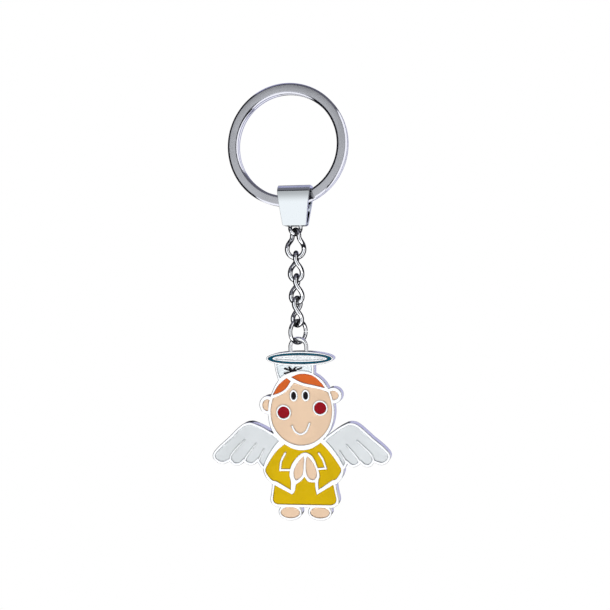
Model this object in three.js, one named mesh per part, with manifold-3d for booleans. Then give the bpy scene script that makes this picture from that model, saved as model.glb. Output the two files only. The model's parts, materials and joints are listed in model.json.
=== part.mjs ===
// An angel-charm keychain, hanging from its split ring: millimetres, +Z up, front facing -Y.
// The origin is the inner top of the ring, where a hook or a finger holds it.
import * as THREE from 'three';
import { mergeVertices } from 'three/addons/utils/BufferGeometryUtils.js';
import Module from 'manifold-3d';

const wasm = await Module();
wasm.setup();

// ---- driving dimensions ----
const PLAY = 0.06;                 // clearance where two wires hang on one another
const RING = {
  outer: 15, inner: 12.4, wire: 1.2, gap: 0.06, bevelR: 0.5, bevelY: 0.3, start: -61, jog: 20,
};
const CLIP = { x: 2.0, top: 9.85, bottom: 19.65, backDrop: 0.1, sheet: 0.8, topWidth: 8.0, lowWidth: 6.0,
  loopHalf: 1.8, lowHalf: 0.62, cornerOut: 1.75, loopEnd: 14.2, mouthCorner: 0.7 };
const PIN = { z: -18.1, radius: 0.5 };
const EYE = {
  x: 2.0, bottom: -21.75, top: -17.02, half: 1.3, wire: 1.0, turn: 40, twistTop: -19.75, twistLow: -21.3,
};
const LINK = { wire: 1.2, height: 6.8, bow: 1.5, joint: 0.1 };
const FIRST = { height: 6.86, top: 1.8, bottom: 2.1 };
const JUMP = { x: 2.68, wire: 1.0, radius: 2.7, turn: 58, joint: 0.22 };
const CHARM = {
  x: 3.36, thick: 3.0, pocket: 0.5, recess: 0.09, floor: 0.04, slack: 0.04, roll: -2.4, axis: -0.45,
};
const EYELET = { x: -0.66, wire: 1.0, radius: 2.0, arch: -1.9, foot: -3.4 };
const RIM = 0.62;                  // metal left between the charm's edge and a wing's enamel
const CHAIN_TURNS = [              // direction of each link's bows, in degrees from the charm's plane
  { top: -50, bottom: 8 },
  { top: -84, bottom: 0 },
  { top: -90, bottom: -10 },
  { top: -108, bottom: -30 },
];
const CHAIN_X = [2.0, 2.15, 2.3, 2.45];

const rad = THREE.MathUtils.degToRad;

// ---- materials ----
const metal = (color, roughness) => new THREE.MeshStandardMaterial({ color, roughness, metalness: 1 });
const enamel = (color) => new THREE.MeshStandardMaterial({ color, roughness: 0.25, metalness: 0 });
const NICKEL = '#d9dbe0';
const PEARL = '#dee2e6';
const SKIN = '#efcfb0';
const HAIR = '#dc692d';
const ROBE = '#deb806';
const TEAL = '#004b64';
const RED = '#a51626';
const BLACK = '#101012';

// ---- shared shapes ----
function solidOf(geometry) {
  const bare = geometry.clone();
  bare.deleteAttribute('normal');
  bare.deleteAttribute('uv');
  const merged = mergeVertices(bare, 1e-5);
  const mesh = new wasm.Mesh({
    numProp: 3,
    vertProperties: new Float32Array(merged.attributes.position.array),
    triVerts: new Uint32Array(merged.index.array),
  });
  return new wasm.Manifold(mesh);
}

function geometryOf(solid) {
  const mesh = solid.getMesh();
  const geometry = new THREE.BufferGeometry();
  geometry.setAttribute('position', new THREE.BufferAttribute(new Float32Array(mesh.vertProperties), 3));
  geometry.setIndex(new THREE.BufferAttribute(new Uint32Array(mesh.triVerts), 1));
  geometry.computeVertexNormals();
  return geometry;
}

function piece(name, geometry, material) {
  const mesh = new THREE.Mesh(geometry, material);
  mesh.name = name;
  return mesh;
}

const xy = ([x, y]) => new THREE.Vector2(x, y);

// A closed outline: each run is a smooth curve on from the last point, and corners fall between runs.
function outline(start, runs, divisions = 2) {
  const path = new THREE.Path().moveTo(...start);
  for (const run of runs) {
    if (run.length === 1) path.lineTo(...run[0]);
    else path.splineThru(run.map(xy));
  }
  return tidy(path.getPoints(divisions));
}

// A closed outline with no corners.
function smoothOutline(points, divisions = 2) {
  const corners = points.map(([x, y]) => new THREE.Vector3(x, y, 0));
  const curve = new THREE.CatmullRomCurve3(corners, true, 'centripetal');
  return tidy(curve.getPoints(points.length * divisions).map((p) => new THREE.Vector2(p.x, p.y)));
}

function ellipse(x, y, halfX, halfY, count = 24, tilt = 0) {
  const curve = new THREE.EllipseCurve(x, y, halfX, halfY, 0, 2 * Math.PI, false, tilt);
  return tidy(curve.getPoints(count));
}

// Counter-clockwise, with no repeated points.
function tidy(points) {
  const kept = points.filter((p, i) => p.distanceTo(points[(i + 1) % points.length]) > 0.02);
  return THREE.ShapeUtils.isClockWise(kept) ? kept.reverse() : kept;
}

const MITRE_LIMIT = 0.55;          // keeps a sharp corner from shooting far out when an outline grows

// The outline grown outwards (or shrunk, when negative) by a small even distance.
function offset(points, distance) {
  const count = points.length;
  return points.map((p, i) => {
    const before = p.clone().sub(points[(i + count - 1) % count]).normalize();
    const after = points[(i + 1) % count].clone().sub(p).normalize();
    const normal = new THREE.Vector2(before.y + after.y, -before.x - after.x).normalize();
    const spread = Math.max(MITRE_LIMIT, normal.x * before.y - normal.y * before.x);
    return p.clone().addScaledVector(normal, distance / spread);
  });
}

// A band of metal along a line, tapering from one width to another, with blunt round ends.
function stroke(points, startWidth, endWidth = startWidth, divisions = 3) {
  const curve = new THREE.SplineCurve(points.map(xy));
  const steps = (points.length - 1) * divisions;
  const left = [];
  const right = [];
  for (let i = 0; i <= steps; i += 1) {
    const p = curve.getPoint(i / steps);
    const along = curve.getTangent(i / steps);
    const half = THREE.MathUtils.lerp(startWidth, endWidth, i / steps) / 2;
    left.push(new THREE.Vector2(p.x - along.y * half, p.y + along.x * half));
    right.push(new THREE.Vector2(p.x + along.y * half, p.y - along.x * half));
  }
  const nose = (t, width, sign) => {
    const along = curve.getTangent(t).multiplyScalar((sign * width) / 2);
    return curve.getPoint(t).add(along);
  };
  return tidy([nose(0, startWidth, -1), ...right, nose(1, endWidth, 1), ...left.reverse()]);
}

// A plate of the outline in the charm's plane, from front to back.
function plate(points, front, back) {
  const depth = back - front;
  const geometry = new THREE.ExtrudeGeometry(new THREE.Shape(points), { depth, bevelEnabled: false });
  geometry.rotateX(Math.PI / 2).translate(0, back, 0);
  return solidOf(geometry);
}

// Round wire along a path.
function wireAlong(points, diameter, steps, sides = 8) {
  const section = new THREE.Shape();
  for (let i = 0; i < sides; i += 1) {
    const angle = (2 * Math.PI * (i + 0.5)) / sides;
    const x = (diameter / 2) * Math.cos(angle);
    const y = (diameter / 2) * Math.sin(angle);
    if (i === 0) section.moveTo(x, y);
    else section.lineTo(x, y);
  }
  section.closePath();
  const extrudePath = new THREE.CatmullRomCurve3(points, false, 'centripetal');
  return new THREE.ExtrudeGeometry(section, { steps, extrudePath });
}

const LEG_STEP = 0.45;

// The middle line of a link: two round bows joined by legs that turn the lower bow away from the upper.
// It starts and ends at a butt joint half-way up one leg.
function loopLine({ top, bottom, height, topTurn, bottomTurn, joint, side, twistTop, twistLow }) {
  const points = [];
  const legTop = height / 2 - top;
  const legLow = bottom - height / 2;
  const place = (across, z) => {
    const share = THREE.MathUtils.smoothstep(z, twistLow ?? legLow, twistTop ?? legTop + 1e-6);
    const turn = THREE.MathUtils.lerp(bottomTurn, topTurn, share);
    points.push(new THREE.Vector3(across * Math.cos(turn), across * Math.sin(turn), z));
  };
  const middle = (legTop + legLow) / 2;
  const leg = (from, to, edge) => {
    const steps = Math.max(1, Math.round(Math.abs(to - from) / LEG_STEP));
    for (let i = 0; i < steps; i += 1) {
      const z = THREE.MathUtils.lerp(from, to, i / steps);
      const share = legTop > legLow ? (z - legLow) / (legTop - legLow) : 0.5;
      place(edge * THREE.MathUtils.lerp(bottom, top, share), z);
    }
  };
  const bow = (radius, centre, from, to) => {
    for (let i = 0; i <= 6; i += 1) {
      const angle = THREE.MathUtils.lerp(from, to, i / 6);
      place(side * radius * Math.cos(angle), centre + radius * Math.sin(angle));
    }
  };
  if (legTop - legLow > LEG_STEP) {
    leg(middle + joint / 2, legTop, side);
    bow(top, legTop, 0, Math.PI);
    leg(legTop - LEG_STEP, legLow, -side);
    bow(bottom, legLow, -Math.PI, 0);
    leg(legLow + LEG_STEP, middle - joint, side);
    place(side * ((top + bottom) / 2), middle - joint / 2);
    return points;
  }
  const slit = joint / 2 / top;
  bow(top, middle, slit, Math.PI);
  bow(bottom, middle, Math.PI + 0.5, 2 * Math.PI - slit);
  return points;
}

// ---- split ring ----
// The flat wire makes almost two turns, stepping from the front turn to the back one over a short jog.
class SplitRingLine extends THREE.Curve {
  constructor() {
    super();
    this.sweep = rad(720 - RING.jog - 1);
    this.radius = (RING.outer + RING.inner) / 2;
    this.side = (RING.wire + RING.gap) / 2;
  }

  angle(t) {
    return rad(RING.start) + this.sweep * t;
  }

  getPoint(t) {
    const turned = THREE.MathUtils.radToDeg(this.sweep * t);
    const share = THREE.MathUtils.smoothstep(turned, 360 - RING.jog, 360);
    const y = THREE.MathUtils.lerp(-this.side, this.side, share);
    const angle = this.angle(t);
    return new THREE.Vector3(this.radius * Math.cos(angle), y, this.radius * Math.sin(angle));
  }

  // Frames that keep the wire's flat faces square to the ring.
  computeFrenetFrames(segments) {
    const frames = { tangents: [], normals: [], binormals: [] };
    for (let i = 0; i <= segments; i += 1) {
      const angle = this.angle(this.getUtoTmapping(i / segments));
      const normal = new THREE.Vector3(Math.cos(angle), 0, Math.sin(angle));
      const binormal = new THREE.Vector3(0, 1, 0);
      frames.normals.push(normal);
      frames.binormals.push(binormal);
      frames.tangents.push(normal.clone().cross(binormal));
    }
    return frames;
  }
}

function keyRing() {
  const halfR = (RING.outer - RING.inner) / 2;
  const halfY = RING.wire / 2;
  const section = new THREE.Shape([
    [halfR, halfY - RING.bevelY], [halfR - RING.bevelR, halfY],
    [RING.bevelR - halfR, halfY], [-halfR, halfY - RING.bevelY],
    [-halfR, RING.bevelY - halfY], [RING.bevelR - halfR, -halfY],
    [halfR - RING.bevelR, -halfY], [halfR, RING.bevelY - halfY],
  ].map(xy));
  const geometry = new THREE.ExtrudeGeometry(section, { steps: 72, extrudePath: new SplitRingLine() });
  return piece('key_ring', geometry, metal(NICKEL, 0.35));
}

// ---- clip: one strap of sheet folded over the ring, its two ends side by side below it ----
function clipProfile() {
  const side = new THREE.Shape();
  const half = CLIP.loopHalf + CLIP.sheet;
  const low = CLIP.lowHalf + CLIP.sheet;
  const innerCorner = CLIP.cornerOut - CLIP.sheet;
  const backEnd = -CLIP.bottom - CLIP.backDrop;
  side.moveTo(-low, -CLIP.bottom);
  side.lineTo(-half, -CLIP.loopEnd);
  side.lineTo(-half, -CLIP.top - CLIP.cornerOut);
  const corner = -CLIP.top - CLIP.cornerOut;
  side.absarc(-half + CLIP.cornerOut, corner, CLIP.cornerOut, Math.PI, Math.PI / 2, true);
  side.absarc(half - CLIP.cornerOut, -CLIP.top - CLIP.cornerOut, CLIP.cornerOut, Math.PI / 2, 0, true);
  side.lineTo(half, -CLIP.loopEnd);
  side.lineTo(low, backEnd);
  side.lineTo(CLIP.lowHalf, backEnd);
  side.lineTo(CLIP.loopHalf, -CLIP.loopEnd);
  side.absarc(half - CLIP.cornerOut, -CLIP.top - CLIP.cornerOut, innerCorner, 0, Math.PI / 2, false);
  side.absarc(-half + CLIP.cornerOut, -CLIP.top - CLIP.cornerOut, innerCorner, Math.PI / 2, Math.PI, false);
  side.lineTo(-CLIP.loopHalf, -CLIP.loopEnd);
  side.lineTo(-CLIP.lowHalf, -CLIP.bottom);
  return side;
}

function ringClip() {
  const strap = new THREE.ExtrudeGeometry(clipProfile(), {
    depth: CLIP.topWidth, bevelEnabled: false, curveSegments: 6,
  });
  const along = new THREE.Vector3(1, 0, 0);
  const upright = new THREE.Vector3(0, 0, 1);
  strap.applyMatrix4(new THREE.Matrix4().makeBasis(new THREE.Vector3(0, 1, 0), upright, along));
  strap.translate(CLIP.x - CLIP.topWidth / 2, 0, 0);
  const face = new THREE.Shape();
  const end = -CLIP.bottom - CLIP.backDrop;
  const corner = CLIP.mouthCorner;
  const halfTop = CLIP.topWidth / 2;
  const halfLow = CLIP.lowWidth / 2;
  face.moveTo(CLIP.x - halfTop, -CLIP.top + 1);
  face.lineTo(CLIP.x - halfTop, -CLIP.top - CLIP.cornerOut);
  face.lineTo(CLIP.x - halfLow, end + corner);
  face.quadraticCurveTo(CLIP.x - halfLow, end, CLIP.x - halfLow + corner, end);
  face.lineTo(CLIP.x + halfLow - corner, end);
  face.quadraticCurveTo(CLIP.x + halfLow, end, CLIP.x + halfLow, end + corner);
  face.lineTo(CLIP.x + halfTop, -CLIP.top - CLIP.cornerOut);
  face.lineTo(CLIP.x + halfTop, -CLIP.top + 1);
  const trimmed = solidOf(strap).intersect(plate(tidy(face.getPoints(5)), -CLIP.topWidth, CLIP.topWidth));
  return piece('ring_clip', geometryOf(trimmed), metal(NICKEL, 0.12));
}

// The cross pin between the clip's two ends, which the first loop hangs on.
function clipPin() {
  const fall = (-PIN.z + PIN.radius - CLIP.loopEnd) / (CLIP.bottom - CLIP.loopEnd);
  const half = THREE.MathUtils.lerp(CLIP.loopHalf, CLIP.lowHalf, fall) - 0.05;
  const geometry = new THREE.CylinderGeometry(PIN.radius, PIN.radius, 2 * half, 20);
  const pin = piece('clip_pin', geometry, metal(NICKEL, 0.3));
  pin.position.set(EYE.x, 0, PIN.z);
  return pin;
}

// ---- chain ----
function connectorLoop() {
  const height = EYE.top - EYE.bottom;
  const centre = (EYE.top + EYE.bottom) / 2;
  const line = loopLine({
    top: EYE.half,
    bottom: EYE.half,
    height,
    topTurn: 0,
    bottomTurn: rad(EYE.turn),
    joint: LINK.joint,
    side: -1,
    twistTop: EYE.twistTop - centre,
    twistLow: EYE.twistLow - centre,
  });
  const loop = piece('connector_loop', wireAlong(line, EYE.wire, 26), metal(NICKEL, 0.12));
  loop.position.set(EYE.x, 0, centre);
  return loop;
}

function chainLinks() {
  let hangsFrom = EYE.bottom + (EYE.wire + LINK.wire) / 2 + PLAY;
  return CHAIN_TURNS.map((turn, i) => {
    const height = i === 0 ? FIRST.height : LINK.height;
    const line = loopLine({
      top: i === 0 ? FIRST.top : LINK.bow,
      bottom: i === 0 ? FIRST.bottom : LINK.bow,
      height,
      topTurn: rad(turn.top),
      bottomTurn: rad(turn.bottom),
      joint: LINK.joint,
      side: -1,
    });
    const link = piece(`chain_link_${i + 1}`, wireAlong(line, LINK.wire, 30), metal(NICKEL, 0.1));
    link.position.set(CHAIN_X[i], 0, hangsFrom - height / 2);
    hangsFrom += LINK.wire + PLAY - height;
    return link;
  });
}

function chainEnd() {
  const pitch = LINK.wire + PLAY;
  const first = EYE.bottom + (EYE.wire + LINK.wire) / 2 + PLAY - FIRST.height;
  return first + 3 * (pitch - LINK.height);
}

const JUMP_TOP = chainEnd() + (LINK.wire + JUMP.wire) / 2 + PLAY;

function jumpRing() {
  const line = loopLine({
    top: JUMP.radius,
    bottom: JUMP.radius,
    height: 2 * JUMP.radius,
    topTurn: rad(JUMP.turn),
    bottomTurn: rad(JUMP.turn),
    joint: JUMP.joint,
    side: 1,
  });
  const ring = piece('jump_ring', wireAlong(line, JUMP.wire, 28), metal(NICKEL, 0.12));
  ring.position.set(JUMP.x, 0, JUMP_TOP - JUMP.radius);
  return ring;
}

// ---- charm outlines, in its own plane: x to the right, y up, from a point in the eyelet ----

const HEAD = smoothOutline([
  [-5.4, -9.4], [-7.9, -13.6], [-8.8, -18.2], [-8.1, -22.2], [-5.9, -24.9], [-3.1, -26.3], [-0.6, -26.7],
  [2.2, -26.2], [4.9, -24.6], [7, -21.8], [7.9, -18.4], [7.7, -15.2], [6.7, -12.2], [5.2, -10], [3.2, -8.5],
  [0.8, -7.8], [-1.6, -7.9], [-3.8, -8.5],
]);
const FACE = outline([-1.9, -10.6], [
  [[-3.2, -12.1], [-5, -13.4], [-7.4, -14.4]],
  [[-8.1, -17.8], [-7.5, -21.3], [-5.5, -24.1], [-3, -25.6], [-0.6, -26], [2, -25.5], [4.4, -24], [6.4, -21.4],
    [7.3, -18], [7.1, -15.2], [6.5, -13]],
  [[4.1, -12.2], [1, -11.6], [-1.9, -10.6]],
]);
const HAIR_RIGHT = outline([-2.5, -9.2], [
  [[-0.8, -8.55], [1.2, -8.5], [3.1, -9.1], [4.7, -10.5], [5.8, -12]],
  [[3, -11.3], [0.4, -10.7], [-1.3, -9.9], [-2.5, -9.2]],
]);
const HAIR_LEFT = outline([-3.7, -9.4], [
  [[-5.3, -10.6], [-6.4, -11.9], [-7.4, -13.6]],
  [[-5.5, -13], [-3.9, -11.9], [-2.7, -10.2]],
  [[-3.7, -9.4]],
]);
const EAR_LEFT = ellipse(-8.7, -16, 2.2, 2.3, 28);
const EAR_RIGHT = ellipse(7.8, -13.85, 2.1, 2.0, 28);
const EYES = [[-2.1, -13.8], [0.9, -13.8]];
const CHEEKS = [[-4.8, -17.9], [4.4, -16.9]];
const SMILE = stroke([[-2.8, -21.2], [-2.1, -22.6], [-0.7, -23.3], [0.7, -22.5], [1.6, -20.6]], 0.46);

const HALO = { x: -0.25, y: -4.72, tilt: rad(-1.2) };
const haloRing = (halfX, halfY) => ellipse(HALO.x, HALO.y, halfX, halfY, 48, HALO.tilt);
const HALO_EDGE = haloRing(8.45, 1.78);
const PANEL_EDGE = outline([-6.6, -5], [[[-6.5, -7.2], [-5.7, -10.5]], [[3.2, -10]], [[3.35, -5]]]);
const PANEL = outline([-6.1, -5], [[[-6, -7.2], [-5.3, -10]], [[2.6, -9.5]], [[2.75, -5]]]);
const TUFT = [
  [[-2.2, -7.8], [-2.9, -7.5], [-4.1, -7.1]],
  [[-2.2, -7.8], [-2.7, -7.2], [-3, -6.75]],
  [[-2.2, -7.8], [-1.8, -7.4], [-1.2, -6.8]],
  [[-2.2, -7.8], [-1.1, -7.5], [0.1, -7.05]],
  [[-2.2, -7.8], [-3, -8.15], [-4.2, -8.3]],
];

const ROBE_EDGE = outline([-0.45, -24], [
  [[4.8, -24.3]],
  [[6.7, -26.3], [8.5, -28.9], [9.5, -31], [9.7, -32.4], [9, -34.1], [7.6, -35.6]],
  [[7.85, -37.6], [8.2, -39.4], [7.8, -40.6], [6.6, -41.3]],
  [[-7.5, -41.3]],
  [[-8.7, -40.6], [-9.1, -39.4], [-8.75, -37.6], [-8.5, -35.6]],
  [[-9.9, -34.1], [-10.6, -32.4], [-10.4, -31], [-9.4, -28.9], [-7.6, -26.3], [-5.7, -24.3]],
]);
const SLEEVES = outline([-4.9, -25.7], [
  [[-2.9, -26.8], [-0.5, -27.2], [2, -26.7], [4.2, -25.3]],
  [[6, -27.2], [7.8, -29.7], [8.9, -31.6], [8.7, -32.8], [7.7, -34.2], [6.8, -34.5]],
  [[3.2, -36.9]],
  [[3.2, -34.9], [3.6, -33.2], [3.1, -31.2], [2.5, -29.6], [1.6, -28.3], [0.2, -27.75], [-1.1, -28.3],
    [-2.5, -29.6], [-3.5, -31.2], [-4, -33.2], [-3.7, -34.9], [-3.8, -37]],
  [[-7.4, -34.9]],
  [[-8.5, -34.6], [-9.6, -33.3], [-10, -32], [-8.7, -29.6], [-6.8, -27.2], [-4.9, -25.7]],
]);
const FOLD_RIGHT = [[[2.4, -31.9], [5.2, -31.6]], [[5.25, -31.75], [4.6, -29.6], [3.6, -27.9]]];
const FOLD_LEFT = [[[-3.1, -32.1], [-6.2, -32.1]], [[-6.3, -32.25], [-5.9, -29.9], [-4.8, -27.9]]];
const HAND_LEFT = smoothOutline([[-0.2, -28.7], [-1.5, -29.9], [-2.6, -31.7], [-2.9, -33.2], [-2.4, -34.6],
  [-1.6, -34.2], [-0.7, -33.2], [-0.35, -31.2]]);
const HAND_RIGHT = smoothOutline([[0.7, -28.7], [1.7, -29.7], [2.5, -31.2], [2.9, -33.2], [2.3, -34.4],
  [1.2, -34.3], [0.4, -33.2], [0.25, -31.2]]);
const SKIRT = outline([-7.8, -35.9], [
  [[-3.5, -38.1]],
  [[-2.8, -37.2], [-2.4, -35.6]],
  [[-1.2, -34.8], [-0.2, -33.7]],
  [[0.7, -34.9], [2.4, -35.1]],
  [[2.4, -36.4], [2.7, -38.1]],
  [[6.9, -35.6]],
  [[7.2, -37.4], [7.5, -39.2], [7.1, -40.2], [6.2, -40.6]],
  [[-7.2, -40.6]],
  [[-8.1, -40.2], [-8.4, -39.2], [-8.1, -37.4], [-7.8, -35.9]],
]);
const FEET = [[-4.15, -42.5], [3.3, -42.4]];
const footEdge = ([x, y]) => ellipse(x, y, 2.95, 2.05, 30);

// One wing, drawn outwards from the charm's axis; the right one is a little narrower and turned up.
const WING = [
  { side: 'left', sign: -1, width: 1, height: 1, turn: 0, lift: 0 },
  { side: 'right', sign: 1, width: 0.918, height: 1.01, turn: rad(2.2), lift: 0.05 },
];

function wingPoint({ sign, width, height, turn, lift }) {
  return ([x, y]) => {
    const p = new THREE.Vector2(x * width, y * height + lift);
    p.rotateAround(new THREE.Vector2(13, -21), turn);
    return [CHARM.axis + sign * p.x, p.y];
  };
}

function wingEdge(wing) {
  const at = wingPoint(wing);
  return outline(at([4, -26]), [
    [at([6.4, -23.5])],
    [[9.6, -21.6], [12.1, -20.5], [13.4, -20.3], [14.9, -20.7], [16.5, -21.9], [19, -24.2], [21.4, -26.2],
      [23, -28], [23.05, -29.3], [21.9, -30.4], [20.4, -30.7], [18.7, -30.1]].map(at),
    [[17.9, -30.9], [16.8, -31.1], [15.8, -30.8], [15.1, -30.2]].map(at),
    [[14.2, -30.8], [13.1, -31], [12.2, -30.7], [11.6, -30.2]].map(at),
    [[10.9, -31.2], [10.2, -31.8], [9, -32]].map(at),
    [at([5, -30])],
  ]);
}

function wingVanes(wing) {
  const at = wingPoint(wing);
  const vane = (points) => stroke(points.map(at), 0.5, 0.24);
  return [
    vane([[18.7, -30.1], [18, -28], [14.7, -24.7]]),
    vane([[15.1, -30.3], [14.2, -28.6], [11.8, -25.6]]),
    vane([[11.5, -30.3], [10.9, -29], [9.8, -27]]),
  ];
}

// ---- charm: each cell is a pocket in the metal, filled with one colour of enamel ----
const HAIR_WIDTH = { root: 0.55, tip: 0.36 };
const tuftStrokes = () => TUFT.map((line) => stroke(line, HAIR_WIDTH.root, HAIR_WIDTH.tip));
const eyeRing = ([x, y]) => ellipse(x, y, 1.02, 1.42, 24);
const cheekRing = ([x, y]) => ellipse(x, y, 1.88, 1.88, 32);

const FOLD_WIDTH = 0.5;

const CELLS = [
  { name: 'face', colour: SKIN, edge: FACE, bars: [...EYES.map(eyeRing), ...CHEEKS.map(cheekRing), SMILE] },
  { name: 'hair_right', colour: HAIR, edge: HAIR_RIGHT },
  { name: 'hair_left', colour: HAIR, edge: HAIR_LEFT },
  { name: 'ear_left', colour: SKIN, edge: ellipse(-8.85, -16.05, 1.25, 1.42, 24), bars: [HEAD] },
  { name: 'ear_right', colour: SKIN, edge: ellipse(7.75, -13.85, 1.32, 1.14, 24), bars: [HEAD] },
  ...EYES.map(([x, y], i) => ({
    name: ['eye_left', 'eye_right'][i], colour: BLACK, edge: ellipse(x, y, 0.6, 0.98, 20),
  })),
  ...CHEEKS.map(([x, y], i) => ({
    name: ['cheek_left', 'cheek_right'][i], colour: RED, edge: ellipse(x, y, 1.48, 1.48, 28),
  })),
  { name: 'halo_band', colour: TEAL, edge: haloRing(8, 1.38), bars: [haloRing(6.85, 0.8)] },
  { name: 'halo_centre', colour: PEARL, edge: haloRing(6.3, 0.46) },
  { name: 'halo_panel', colour: PEARL, edge: PANEL, bars: [HALO_EDGE, HEAD], inlay: true },
  ...WING.map((wing) => ({
    name: `wing_${wing.side}`,
    colour: PEARL,
    edge: offset(wingEdge(wing), -RIM),
    bars: [HEAD, ROBE_EDGE, ...wingVanes(wing)],
  })),
  {
    name: 'sleeves', colour: ROBE, edge: SLEEVES,
    bars: [...FOLD_RIGHT, ...FOLD_LEFT].map((line) => stroke(line, FOLD_WIDTH)),
  },
  { name: 'skirt', colour: ROBE, edge: SKIRT },
  { name: 'hand_left', colour: SKIN, edge: HAND_LEFT },
  { name: 'hand_right', colour: SKIN, edge: HAND_RIGHT },
  ...FEET.map(([x, y], i) => ({
    name: ['foot_left', 'foot_right'][i],
    colour: SKIN,
    edge: ellipse(x, y - 0.1, 2.42, 1.36, 28),
    bars: [ROBE_EDGE],
  })),
];

const FRONT = -CHARM.thick / 2;

// The cell's volume between two depths, drawn in all round by the slack.
function cellSolid({ edge, bars = [] }, slack, front, back) {
  return bars.reduce(
    (solid, bar) => solid.subtract(plate(offset(bar, slack), front - 1, back + 1)),
    plate(offset(edge, -slack), front, back),
  );
}

function tuftSolid(grow, front, back) {
  const hairs = tuftStrokes().map((line) => plate(offset(line, grow), front, back));
  return hairs.reduce((all, hair) => all.add(hair));
}

function charmBase() {
  const edges = [HEAD, EAR_LEFT, EAR_RIGHT, HALO_EDGE, PANEL_EDGE, ROBE_EDGE];
  edges.push(...FEET.map(footEdge), ...WING.map(wingEdge));
  let body = edges.map((edge) => plate(edge, FRONT, -FRONT)).reduce((all, part) => all.add(part));
  for (const cell of CELLS) {
    body = body.subtract(cellSolid(cell, 0, FRONT - 1, FRONT + CHARM.pocket));
  }
  return piece('charm_base', geometryOf(body.add(eyelet())), metal(NICKEL, 0.2));
}

// The cast eyelet: an arch of round bar standing on the halo's top edge.
function eyelet() {
  const line = [new THREE.Vector3(EYELET.x - EYELET.radius, 0, EYELET.foot)];
  for (let i = 0; i <= 10; i += 1) {
    const angle = Math.PI * (1 - i / 10);
    const z = EYELET.arch + EYELET.radius * Math.sin(angle);
    line.push(new THREE.Vector3(EYELET.x + EYELET.radius * Math.cos(angle), 0, z));
  }
  line.push(new THREE.Vector3(EYELET.x + EYELET.radius, 0, EYELET.foot));
  return solidOf(wireAlong(line, EYELET.wire, 24));
}

function enamelFill(cell) {
  const front = FRONT + CHARM.recess;
  const back = FRONT + CHARM.pocket - CHARM.floor;
  let fill = cellSolid(cell, CHARM.slack, front, back);
  if (cell.inlay) fill = fill.subtract(tuftSolid(CHARM.slack, front - 1, back + 1));
  return piece(`enamel_${cell.name}`, geometryOf(fill), enamel(cell.colour));
}

function hairTuft() {
  const front = FRONT + CHARM.recess - 0.03;
  const back = FRONT + CHARM.pocket - CHARM.floor;
  const panel = CELLS.find((cell) => cell.inlay);
  const fill = tuftSolid(0, front, back).intersect(cellSolid(panel, CHARM.slack, front, back));
  return piece('enamel_tuft', geometryOf(fill), enamel(BLACK));
}

function charm() {
  const body = new THREE.Group();
  body.add(charmBase(), ...CELLS.map(enamelFill), hairTuft());
  const eyeletTop = JUMP_TOP - 2 * JUMP.radius + (JUMP.wire + EYELET.wire) / 2 + PLAY;
  body.position.set(CHARM.x, 0, eyeletTop - EYELET.arch - EYELET.radius);
  body.rotation.y = rad(CHARM.roll);
  return body;
}

// ---- assembly, hung so that the ring's inner top is the origin ----
const group = new THREE.Group();
group.position.z = -RING.inner;
group.add(keyRing(), ringClip(), clipPin(), connectorLoop(), ...chainLinks(), jumpRing(), charm());

export default group;
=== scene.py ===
import json
import math

import bpy
import bmesh
from mathutils import Matrix, Vector
from mathutils.geometry import delaunay_2d_cdt

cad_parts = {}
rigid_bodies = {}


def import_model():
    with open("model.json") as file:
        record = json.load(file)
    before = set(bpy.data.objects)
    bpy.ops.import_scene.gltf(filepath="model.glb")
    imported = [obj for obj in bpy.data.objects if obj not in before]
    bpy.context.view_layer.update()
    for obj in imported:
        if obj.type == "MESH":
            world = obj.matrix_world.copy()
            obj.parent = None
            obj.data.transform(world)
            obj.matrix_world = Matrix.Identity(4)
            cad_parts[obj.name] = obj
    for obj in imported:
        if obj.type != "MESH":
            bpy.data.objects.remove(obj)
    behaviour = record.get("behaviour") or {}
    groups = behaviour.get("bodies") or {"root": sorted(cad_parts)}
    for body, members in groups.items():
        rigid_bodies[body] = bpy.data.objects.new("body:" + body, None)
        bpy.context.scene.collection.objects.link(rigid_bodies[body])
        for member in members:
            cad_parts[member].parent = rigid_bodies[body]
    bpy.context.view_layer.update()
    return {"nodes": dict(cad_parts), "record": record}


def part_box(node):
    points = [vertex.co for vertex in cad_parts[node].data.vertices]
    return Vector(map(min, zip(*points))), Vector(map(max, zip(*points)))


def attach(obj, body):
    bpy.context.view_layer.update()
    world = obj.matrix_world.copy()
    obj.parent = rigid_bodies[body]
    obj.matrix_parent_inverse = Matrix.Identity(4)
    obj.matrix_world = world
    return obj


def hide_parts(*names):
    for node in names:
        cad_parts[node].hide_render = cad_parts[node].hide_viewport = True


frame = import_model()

MM = 0.001

# ---- split ring ----
# A flat spring-steel wire with bevelled edges, coiled almost twice round and satin finished by tumbling.
# It is the piece that everything hangs from.
WIRE_THICK = 1.2 * MM
TURN_GAP = 0.06 * MM
FLAT_WIDTH = 2.6 * MM
BEVEL_ACROSS = 0.5 * MM
BEVEL_DEEP = 0.3 * MM
CORNER_EASE = 0.06 * MM
JOG_DEGREES = 20
CUT_DEGREES = 1
RING_STEPS = 420
RING_START = math.radians(-61)
FLAT_FACE = 0.98                 # how squarely a face must look forward or back to count as one of the flats


def linear(red, green, blue):
    """A colour as seen, 0 to 255, in the shader's own linear units."""
    def one(value):
        value /= 255
        return value / 12.92 if value <= 0.04045 else ((value + 0.055) / 1.055) ** 2.4
    return (one(red), one(green), one(blue), 1)


def new_nodes(tree, *kinds):
    return [tree.nodes.new(kind) for kind in kinds]


def set_inputs(node, values):
    for key, value in values.items():
        node.inputs[key].default_value = value


def link_nodes(tree, pairs):
    for source, target in pairs:
        tree.links.new(source, target)


def add_sockets(tree, direction, sockets):
    """Adds sockets to a node group, each a name, a kind and, where it has one, a starting value."""
    for name, kind, *value in sockets:
        socket = tree.interface.new_socket(name, in_out=direction, socket_type="NodeSocket" + kind)
        if value:
            socket.default_value = value[0]


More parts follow.
